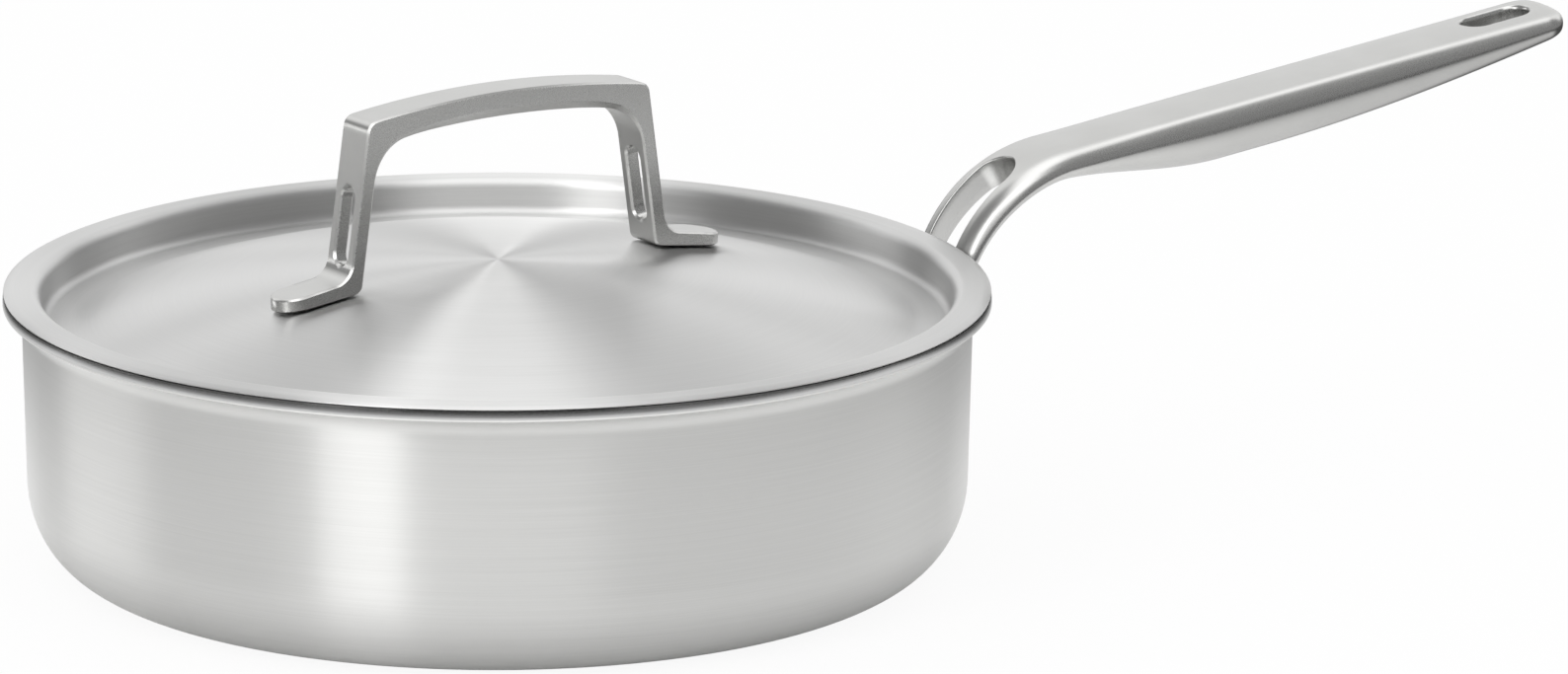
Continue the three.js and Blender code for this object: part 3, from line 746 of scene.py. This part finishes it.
def long_handle_shape():
    """The cast handle. Its top drops by a slight crown, by round side edges and by the slots' round rims,
    and its underside is half an oval that hangs below the side edges."""
    turn = np.linspace(0, np.pi / 2, 13)
    length = np.unique(np.concatenate((
        ROOT_CORNER * (1 - np.cos(turn)),
        np.linspace(ROOT_CORNER, FORK_SLOT_START, 16),
        slot_rows(FORK_SLOT_START, fork_end, FORK_SLOT_WIDTH, FORK_RIM, 28),
        np.linspace(fork_end, hang_start, 60),
        slot_rows(hang_start, hang_end, HANG_SLOT_WIDTH, HANG_RIM, 24),
        handle_length - TIP_CORNER * (1 - np.cos(turn)),
        handle_length - TIP_EDGE_RADIUS * (1 - np.cos(turn)),
    )).round(ROW_DIGITS))
    places, inward = top_line(length)
    column = length[:, None]
    side = handle_half_width(column)
    half = side - rounded_drop(column, ROOT_CORNER) - rounded_drop(handle_length - column, TIP_CORNER)
    fork = slot_half_width(column, FORK_SLOT_START, fork_end, FORK_SLOT_WIDTH)
    hang = slot_half_width(column, hang_start, hang_end, HANG_SLOT_WIDTH)
    slot = np.maximum(fork, hang)
    edge_radius = NECK_EDGE_RADIUS + (GRIP_EDGE_RADIUS - NECK_EDGE_RADIUS) * ease(
        column, fork_end, fork_end + 3 * FORK_SLOT_WIDTH
    )
    fork_rim = slot_half_width(
        column, FORK_SLOT_START - FORK_RIM, fork_end + FORK_RIM, FORK_SLOT_WIDTH + 2 * FORK_RIM
    )
    hang_rim = slot_half_width(
        column, hang_start - HANG_RIM, hang_end + HANG_RIM, HANG_SLOT_WIDTH + 2 * HANG_RIM
    )
    flat = half - np.minimum(edge_radius, EDGE_SHARE * half)
    rim = np.maximum(np.maximum(fork_rim, hang_rim), LEAST_RIM)
    rim = np.minimum(rim, slot + RIM_SHARE * (flat - slot))
    swing = np.linspace(np.pi / 2, 0, 7)
    rim_part = rim - (rim - slot) * np.sin(swing)
    flat_part = rim + (flat - rim) * np.linspace(0, 1, 9)[1:]
    edge_part = flat + (half - flat) * np.sin(swing[::-1][1:])
    top_across = np.hstack((rim_part, flat_part, edge_part))

    def slot_gap(across):
        """Distances from the fork's slot and from the hanging slot."""
        fork_gap = slot_distance(column, across, FORK_SLOT_START, fork_end, FORK_SLOT_WIDTH)
        hang_gap = slot_distance(column, across, hang_start, hang_end, HANG_SLOT_WIDTH)
        return fork_gap, hang_gap

    def side_gap(across):
        """Distance in from the outline, round the corners of the root and of the tip."""
        to_side = np.maximum(side - across, 0)
        to_tip = np.maximum(handle_length - column + 0 * across, 0)
        to_root = np.maximum(column + 0 * across, 0)
        near_tip = corner_distance(to_side, to_tip, TIP_CORNER)
        near_root = corner_distance(to_side, to_root, ROOT_CORNER)
        return np.maximum(np.minimum(near_tip, near_root), 0)

    fork_gap, hang_gap = slot_gap(top_across)
    outer_gap = side_gap(top_across)
    crown = GRIP_CROWN * (top_across / (side - edge_radius)) ** 2
    rim_drop = rounded_drop(fork_gap, FORK_RIM) + rounded_drop(hang_gap, HANG_RIM)
    deepening = EDGE_DEEPENING * handle_thickness(column) / BELLY_THICKNESS
    top_depth = crown + deepening * rounded_drop(outer_gap, edge_radius) + rim_drop
    edge_top = np.clip(1 - outer_gap / edge_radius, 0, 1)
    edge_top = np.maximum(edge_top, np.clip(1 - fork_gap / FORK_RIM, 0, 1))
    edge_top = np.maximum(edge_top, np.clip(1 - hang_gap / HANG_RIM, 0, 1))

    fall = np.linspace(0, np.pi / 2, 29)[1:]
    belly_part = rim + (half - rim) * np.cos(fall) ** (2 / BELLY_FULLNESS)
    under_rim_part = rim - (rim - slot) * np.sin(swing[::-1][1:])
    low_across = np.hstack((belly_part, under_rim_part))
    shoulder = top_depth[:, -1:]
    hang_down = handle_thickness(column) - shoulder
    low_fork_gap, low_hang_gap = slot_gap(low_across)
    low_rim_drop = rounded_drop(low_fork_gap, FORK_RIM) + rounded_drop(low_hang_gap, HANG_RIM)
    oval = np.maximum(1 - (low_across / half) ** BELLY_FULLNESS, 0) ** (1 / BELLY_FULLNESS)
    end_drop = rounded_drop(handle_length - column, TIP_EDGE_RADIUS) + rounded_drop(column, TIP_EDGE_RADIUS)
    low_depth = shoulder + np.maximum(hang_down - end_drop, 0) * oval - low_rim_drop
    row_start = length[:-1] + ROW_TOLERANCE
    row_end = length[1:] - ROW_TOLERANCE
    in_fork = (row_start >= FORK_SLOT_START) & (row_end <= fork_end)
    in_hang = (row_start >= hang_start) & (row_end <= hang_end)
    return bar_piece(
        "long_handle", places, inward, (top_across, top_depth), (low_across, low_depth),
        edge_top, 0 * low_depth, in_fork | in_hang, True
    )


def weld_pad_shape():
    """The pad behind the root, from the wall's curve into the root's metal. Its outline is a square oval,
    |y / half width|^n + |z / half height|^n = 1, and a bead of weld widens it where it meets the wall.
    Its rings run from the middle of the back, over the bead and along the side, to the middle of the
    front: spread is a ring's share of the outline, and share is how far it lies from wall to root."""
    turn = np.linspace(0, 2 * np.pi, PAD_STEPS + 1)[:, None]
    oval = [np.sign(wave) * np.abs(wave) ** (2 / PAD_SQUARENESS) for wave in (np.cos(turn), np.sin(turn))]
    spread = np.array((0, 0.5, 1, 1, 1, 1, 0.5, 0))
    share = np.array((0, 0, 0, 0.1, 0.3, 1, 1, 1))
    bead = PAD_BEAD * np.array((0, 0.5, 1, 0.8, 0, 0, 0, 0))
    across = oval[0] * (PAD_WIDTH / 2 * spread + bead)
    up = neck_start_height - ROOT_LENGTH + PAD_HEIGHT / 2 + oval[1] * (PAD_HEIGHT / 2 * spread + bead)
    wall_there = wall_radius - math.tan(WALL_DRAFT) * (lip_root_height - up)
    on_wall = np.sqrt(wall_there ** 2 - across ** 2)
    outward = on_wall + (root_radius + ROOT_THICKNESS / 2 - on_wall) * share
    points = np.stack((outward, across, up), axis=-1)
    mesh = bpy.data.meshes.new("handle_weld_pad")
    mesh.from_pydata(points.reshape(-1, 3).tolist(), [], grid_quads(*points.shape[:2])[0].tolist())
    return finished_object("handle_weld_pad", mesh)


def satin_grain():
    """The even dimpled grain of a blasted casting: fine grain, and slow soft cloudiness."""
    group = bpy.data.node_groups.new("satin_grain", "ShaderNodeTree")
    group.interface.new_socket("Fineness", in_out="INPUT", socket_type="NodeSocketFloat")
    group.interface.new_socket("Grain", in_out="OUTPUT", socket_type="NodeSocketFloat")
    group.interface.new_socket("Cloud", in_out="OUTPUT", socket_type="NodeSocketFloat")
    given = group.nodes.new("NodeGroupInput")
    place = group.nodes.new("ShaderNodeTexCoord")
    result = group.nodes.new("NodeGroupOutput")
    fine = add_node(group, "ShaderNodeTexNoise", Detail=2, Roughness=0.6)
    cloud = add_node(group, "ShaderNodeTexNoise", Scale=90, Detail=3, Roughness=0.5)
    group.links.new(given.outputs["Fineness"], fine.inputs["Scale"])
    for noise, name in ((fine, "Grain"), (cloud, "Cloud")):
        group.links.new(place.outputs["Object"], noise.inputs["Vector"])
        group.links.new(noise.outputs[0], result.inputs[name])
    return group


grain_group = satin_grain()


def cast_steel():
    """Blasted cast steel: an even satin with a fine grain, and edges rubbed a little brighter."""
    steel, tree, shader = bare_metal("cast_handle_steel")
    grain = tree.nodes.new("ShaderNodeGroup")
    grain.node_tree = grain_group
    grain.inputs["Fineness"].default_value = GRAIN_FINENESS
    worn = tree.nodes.new("ShaderNodeAttribute")
    worn.attribute_name = "edge"
    body = two_tone(tree, grain.outputs["Cloud"], grey(0.475, STEEL_CAST), grey(0.535, STEEL_CAST))
    brightened = maths(tree, "MULTIPLY", worn.outputs["Fac"], EDGE_BRIGHTENING)
    colour = two_tone(tree, brightened, body, grey(0.66, STEEL_CAST))
    tree.links.new(colour, shader.inputs["Base Color"])
    satin = ramp(tree, grain.outputs["Grain"], low=0.26, high=0.36)
    rubbed = maths(tree, "MULTIPLY", worn.outputs["Fac"], EDGE_SMOOTHING)
    tree.links.new(maths(tree, "SUBTRACT", satin, rubbed), shader.inputs["Roughness"])
    bump = add_node(tree, "ShaderNodeBump", Strength=GRAIN_STRENGTH, Distance=GRAIN_DEPTH)
    tree.links.new(grain.outputs["Grain"], bump.inputs["Height"])
    tree.links.new(bump.outputs[0], shader.inputs["Normal"])
    return steel


handle_steel = cast_steel()
long_handle = long_handle_shape()
placed(long_handle, handle_steel, "pan", "cast_handle_steel", "pan_handle")
weld_pad = weld_pad_shape()
placed(weld_pad, handle_steel, "pan", "cast_handle_steel")

# Lid
# The lid is pressed from a single sheet: a flat rim, a step that drops inside the pan's wall, a narrow
# channel and a low dome. It is brushed in circles from the middle outwards.

LID_RADIUS = 127.19 * MM
LID_EDGE_BEND = 4 * MM
LID_EDGE_LEAN = 65
LID_EDGE_NOSE = 0.15 * MM
LID_THICKNESS = 0.9 * MM
LID_STEP_CLEARANCE = 1.4 * MM
LID_STEP_DEPTH = 9.5 * MM
LID_RIM_FILLET = 2.7 * MM
LID_CHANNEL_FILLET = 2.3 * MM
LID_CHANNEL_WIDTH = 9.5 * MM
LID_DOME_RISE = 6.1 * MM
LID_DOME_POWER = 2.3
LID_VALLEY = 0.5 * MM
LID_CAST = 0.005

lid_step_radius = PAN_RADIUS - LID_STEP_CLEARANCE - LID_THICKNESS
lid_dome_radius = lid_step_radius - LID_CHANNEL_WIDTH


def dome_height(radius):
    """Height of the dome's upper surface above the rim: flat in the middle and steeper to its edge."""
    drop = LID_DOME_RISE + LID_STEP_DEPTH
    return LID_DOME_RISE - drop * (radius / lid_dome_radius) ** LID_DOME_POWER


def lid_shape():
    """The pressed sheet. The dome runs into the channel by a smooth maximum of their two heights. The
    rim's top bends down to a thin round nose, and its underside stays flat."""
    radius = np.linspace(0, lid_step_radius - LID_CHANNEL_FILLET, 70, endpoint=False)
    above = dome_height(radius) + LID_STEP_DEPTH
    height = (above + np.sqrt(above ** 2 + LID_VALLEY ** 2)) / 2 - LID_STEP_DEPTH
    dome = np.column_stack((radius, height))
    low = (lid_step_radius - LID_CHANNEL_FILLET, LID_CHANNEL_FILLET - LID_STEP_DEPTH)
    channel = arc(low, (LID_CHANNEL_FILLET, LID_CHANNEL_FILLET), -90, 0, 12)
    high = (lid_step_radius + LID_RIM_FILLET, -LID_RIM_FILLET)
    rim = arc(high, (LID_RIM_FILLET, LID_RIM_FILLET), 180, 90, 12)
    step = line(channel[-1], rim[0], 4)[1:]
    lean = math.radians(LID_EDGE_LEAN)
    nose_middle = (LID_RADIUS - LID_EDGE_NOSE, LID_EDGE_NOSE - LID_THICKNESS)
    nose = arc(nose_middle, (LID_EDGE_NOSE, LID_EDGE_NOSE), LID_EDGE_LEAN, -90, 10)
    bend_drop = LID_EDGE_BEND * (1 - math.sin(lean))
    flat_end = nose[0, 0] - LID_EDGE_BEND * math.cos(lean) + (nose[0, 1] + bend_drop) * math.tan(lean)
    flat = line(rim[-1], (flat_end, 0), 6)[1:]
    upper = np.vstack((dome, channel, step, rim, flat, [(flat_end, 0)]))
    lower = moved_square(upper, -LID_THICKNESS)
    bend = arc((flat_end, -LID_EDGE_BEND), (LID_EDGE_BEND, LID_EDGE_BEND), 90, LID_EDGE_LEAN, 8)
    edge = np.vstack((bend[1:], line(bend[-1], nose[0], 4)[1:], nose))
    profile = np.vstack((upper, edge, lower[::-1]))
    profile[:, 1] += LID_RIM_HEIGHT
    return turned_piece("lid_disc", profile, np.zeros(len(profile)))


lid_steel = brushed_steel(
    "spun_lid_steel", dark=grey(0.54, LID_CAST), light=grey(0.68, LID_CAST),
    smoothest=0.29, roughest=0.41
)
lid_disc = lid_shape()
placed(lid_disc, lid_steel, "lid", "spun_lid_steel", "lid_shell")

# Lid handle
# The lid is lifted by a cast bridge: an arched bar on two slotted legs that splay a little, each with a
# flat round-ended foot welded down to the dome. It has the same satin as the long handle.

LIFT_SPAN = 86.4 * MM
LIFT_HEIGHT = 42.2 * MM
LIFT_ARCH = 3.4 * MM
LIFT_WIDTH = 12 * MM
LIFT_BAR_DEPTH = 7 * MM
LIFT_LEG_THICKNESS = 4.1 * MM
LIFT_LEG_SPLAY = math.radians(8.3)
LIFT_FOOT_REACH = 25.2 * MM
LIFT_FOOT_THICKNESS = 3.8 * MM
LIFT_TOP_RADIUS = 3 * MM
LIFT_INNER_RADIUS = 12 * MM
LIFT_HEEL_RADIUS = 2.5 * MM
LIFT_FOOT_FILLET = 6 * MM
LIFT_EDGE = 0.55 * MM
LIFT_BAR_EDGE = 2.8 * MM
LIFT_SLOT_WIDTH = 6 * MM
LIFT_SLOT_HEIGHT = 20 * MM
LIFT_SLOT_DROP = 27.2 * MM
LIFT_SLOT_RIM = 0.6 * MM
LIFT_TURN = math.radians(10)
WELD_GAP = 0.3 * MM
ARCH_POINTS = 60
OUTER_TURN_POINT = -6
INNER_TURN_POINT = 38
INNER_CORNER_RAISE = 0.4 * MM
INNER_TURN_GAP = 2 * MM
BAR_EDGE_FADE = (0.45, 0.95)
LIFT_LEAST_RIM = 0.8 * MM
FAR_OFF = 1.0
DENSE_POINTS = 1500

lift_top = LID_DOME_RISE + LIFT_HEIGHT
lift_tip = LIFT_SPAN / 2 + LIFT_FOOT_REACH
leg_lean = math.tan(LIFT_LEG_SPLAY)
leg_width = LIFT_LEG_THICKNESS / math.cos(LIFT_LEG_SPLAY)


def fillet(before, at, after, radius, steps):
    """The arc that rounds a corner of an outline, as points."""
    before, at, after = (np.asarray(p, float) for p in (before, at, after))
    back = (before - at) / np.linalg.norm(before - at)
    ahead = (after - at) / np.linalg.norm(after - at)
    half = math.acos(float(back @ ahead)) / 2
    middle = (back + ahead) / np.linalg.norm(back + ahead)
    centre = at + middle * radius / math.sin(half)
    start = at + back * radius / math.tan(half) - centre
    end = at + ahead * radius / math.tan(half) - centre
    sweep = math.atan2(start[0] * end[1] - start[1] * end[0], float(start @ end))
    angle = np.linspace(0, sweep, steps + 1)[:, None]
    square = np.array((-start[1], start[0]))
    return centre + np.cos(angle) * start + np.sin(angle) * square


def leg_meets(inset, slope, start):
    """Where a leg's face, moved in by a thickness, meets a line of the given slope and start."""
    across = (LIFT_SPAN / 2 + leg_lean * (lift_top - start) - inset) / (1 + leg_lean * slope)
    return np.array((across, start + slope * across))


def spaced(outline, share):
    """Points at shares of an outline's length."""
    length = np.append(0, np.cumsum(np.linalg.norm(np.diff(outline, axis=0), axis=1)))
    return np.column_stack([np.interp(share * length[-1], length, outline[:, k]) for k in (0, 1)])


def between(start, end, share):
    """Points at shares of the way from one point to another."""
    return start + np.outer(share, end - start)


def stretch(outline, low, high):
    """The part of an outline between two of its points, found by their nearest places."""
    start = np.argmin(np.linalg.norm(outline - low, axis=1))
    end = np.argmin(np.linalg.norm(outline - high, axis=1))
    return np.vstack((low, outline[start + 1:end], high))


def lift_outlines():
    """The right half of the bridge as two lines, its outer and its inner one, each given as matching
    stretches: the bar, the turn at its corner, the turn at the heel and the tip of the foot."""
    slope = (dome_height(lift_tip) - dome_height(LIFT_SPAN / 2)) / LIFT_FOOT_REACH
    middle = (LIFT_SPAN / 2 + lift_tip) / 2
    sole = dome_height(middle) - slope * middle + WELD_GAP
    instep = sole + LIFT_FOOT_THICKNESS
    across = np.linspace(0, LIFT_SPAN / 2, ARCH_POINTS)
    arch = np.column_stack((across, lift_top + LIFT_ARCH * (1 - (2 * across / LIFT_SPAN) ** 2)))
    outer_corner = arch[-1]
    outer_heel = leg_meets(0, slope, instep)
    outer_tip = np.array((lift_tip, instep + slope * lift_tip))
    inner_corner = leg_meets(leg_width, 0, lift_top - LIFT_BAR_DEPTH + INNER_CORNER_RAISE)
    inner_heel = leg_meets(leg_width, slope, sole)
    inner_tip = np.array((lift_tip, sole + slope * lift_tip))
    outer_turn = fillet(arch[OUTER_TURN_POINT], outer_corner, outer_heel, LIFT_TOP_RADIUS, 12)
    outer_bar = np.vstack((arch[arch[:, 0] < outer_turn[0, 0]], outer_turn[:1]))
    outer_foot_turn = fillet(outer_corner, outer_heel, outer_tip, LIFT_FOOT_FILLET, 12)
    under = arch - (0, LIFT_BAR_DEPTH)
    inner_turn = fillet(under[INNER_TURN_POINT], inner_corner, inner_heel, LIFT_INNER_RADIUS, 16)
    inner_bar = np.vstack((under[under[:, 0] < inner_turn[0, 0] - INNER_TURN_GAP], inner_turn[:1]))
    inner_foot_turn = fillet(inner_corner, inner_heel, inner_tip, LIFT_HEEL_RADIUS, 10)
    return {
        "outer_bar": outer_bar,
        "outer_turn": outer_turn,
        "outer_heel": outer_foot_turn,
        "outer_tip": outer_tip,
        "inner_bar": inner_bar,
        "inner_turn": inner_turn,
        "inner_heel": inner_foot_turn,
        "inner_tip": inner_tip,
    }


def lift_shape():
    """The bridge. Rows join its outer line to its inner one, and each row is a flat section across its
    width with round edges: crisp outside, and wide along the under side of the bar."""
    shape = lift_outlines()
    leg_along = np.array((leg_lean, -1)) / math.hypot(leg_lean, 1)
    leg_square = np.array((-1, -leg_lean)) / math.hypot(leg_lean, 1)
    slot_middle = np.array((LIFT_SPAN / 2 + leg_lean * LIFT_SLOT_DROP, lift_top - LIFT_SLOT_DROP))
    slot_reach = LIFT_SLOT_HEIGHT / 2 + 2 * LIFT_SLOT_RIM

    def leg_cut(outline, distance):
        """The points of an outline, on the leg's side, that lie at distances along the leg."""
        reach = (outline - slot_middle) @ leg_along
        side = (outline - slot_middle) @ leg_square
        keep = outline[:, 0] > LIFT_SPAN / 2 - LIFT_INNER_RADIUS
        order = np.argsort(reach[keep])
        inset = np.interp(distance, reach[keep][order], side[keep][order])
        return slot_middle + np.outer(distance, leg_along) + np.outer(inset, leg_square)

    turn = np.linspace(0, np.pi / 2, 9)
    near_slot = slot_rows(-LIFT_SLOT_HEIGHT / 2, LIFT_SLOT_HEIGHT / 2, LIFT_SLOT_WIDTH, LIFT_SLOT_RIM, 10)
    leg_rows = np.unique(np.concatenate(([-slot_reach, slot_reach], near_slot)).round(ROW_DIGITS))
    bar_share = np.linspace(0, 1, 70)
    heel_share = np.linspace(0, 1, 26)
    foot_length = np.linalg.norm(shape["outer_tip"] - shape["outer_heel"][-1])
    round_share = 1 - LIFT_WIDTH / 2 / foot_length * (1 - np.sin(turn))
    foot_share = np.unique(np.concatenate((np.linspace(0, round_share[0], 8), round_share)))
    halves = []
    for face in ("outer", "inner"):
        outline = np.vstack((shape[face + "_bar"], shape[face + "_turn"][1:], shape[face + "_heel"]))
        leg = leg_cut(outline, leg_rows)
        dense = spaced(outline, np.linspace(0, 1, DENSE_POINTS))
        above = spaced(stretch(dense, dense[0], leg[0]), bar_share)
        below = spaced(stretch(dense, leg[-1], dense[-1]), heel_share)
        foot = between(shape[face + "_heel"][-1], shape[face + "_tip"], foot_share)
        halves.append(np.vstack((above, leg[1:-1], below, foot[1:])))
    count = len(halves[0])
    leg_place = np.full(count, FAR_OFF)
    leg_place[len(bar_share):len(bar_share) + len(leg_rows) - 2] = leg_rows[1:-1]
    to_tip = np.full(count, FAR_OFF)
    to_tip[-len(foot_share) + 1:] = foot_length * (1 - foot_share[1:])
    bar_part = np.zeros(count)
    bar_part[:len(bar_share)] = 1 - ease(bar_share, *BAR_EDGE_FADE)

    def both_sides(values):
        """Values of the right half, given to both halves."""
        return np.concatenate((values[::-1], values[1:]))

    outer, inner = (np.vstack((half[::-1] * (-1, 1), half[1:])) for half in halves)
    leg_place, to_tip, bar_part = (both_sides(v)[:, None] for v in (leg_place, to_tip, bar_part))
    through = inner - outer
    thickness = np.linalg.norm(through, axis=1, keepdims=True)
    inward = through / thickness

    half = LIFT_WIDTH / 2 - rounded_drop(to_tip, LIFT_WIDTH / 2)
    slot = slot_half_width(leg_place, -LIFT_SLOT_HEIGHT / 2, LIFT_SLOT_HEIGHT / 2, LIFT_SLOT_WIDTH)
    grown = LIFT_SLOT_HEIGHT / 2 + LIFT_SLOT_RIM
    slot_rim = slot_half_width(leg_place, -grown, grown, LIFT_SLOT_WIDTH + 2 * LIFT_SLOT_RIM)
    low_edge = LIFT_EDGE + (LIFT_BAR_EDGE - LIFT_EDGE) * bar_part
    swing = np.linspace(np.pi / 2, 0, 7)

    def section(edge_radius):
        """Across distances, depths and polish of one face, from the slot or the middle to the side."""
        flat = half - np.minimum(edge_radius, EDGE_SHARE * half)
        rim = np.minimum(np.maximum(slot_rim, LIFT_LEAST_RIM), slot + RIM_SHARE * (flat - slot))
        across = np.hstack((
            rim - (rim - slot) * np.sin(swing),
            rim + (flat - rim) * np.linspace(0, 1, 5)[1:],
            flat + (half - flat) * np.sin(swing[::-1][1:]),
        ))
        side_gap = corner_distance(LIFT_WIDTH / 2 - across, to_tip + 0 * across, LIFT_WIDTH / 2)
        side_gap = np.maximum(side_gap, 0)
        slot_gap = slot_distance(
            leg_place, across, -LIFT_SLOT_HEIGHT / 2, LIFT_SLOT_HEIGHT / 2, LIFT_SLOT_WIDTH
        )
        drop = np.maximum(edge_radius - side_gap, 0) + np.maximum(LIFT_SLOT_RIM - slot_gap, 0)
        polish = np.clip(1 - side_gap / edge_radius, 0, 1)
        return across, drop, np.maximum(polish, np.clip(1 - slot_gap / LIFT_SLOT_RIM, 0, 1))

    top_across, top_drop, top_polish = section(LIFT_EDGE + 0 * half)
    low_across, low_drop, low_polish = section(low_edge)
    low_depth = thickness - low_drop
    places = np.column_stack((outer[:, 0], np.zeros(len(outer)), outer[:, 1] + LID_RIM_HEIGHT))
    inward = np.column_stack((inward[:, 0], np.zeros(len(outer)), inward[:, 1]))
    inside = np.abs(leg_place[:, 0]) <= LIFT_SLOT_HEIGHT / 2 + ROW_TOLERANCE
    piece = bar_piece(
        "lid_bridge", places, inward, (top_across, top_drop), (low_across[:, ::-1], low_depth[:, ::-1]),
        top_polish, low_polish[:, ::-1], inside[:-1] & inside[1:], False
    )
    piece.data.transform(Matrix.Rotation(LIFT_TURN, 4, "Z"))
    return piece


lid_bridge = lift_shape()
placed(lid_bridge, handle_steel, "lid", "cast_handle_steel", "lid_handle")
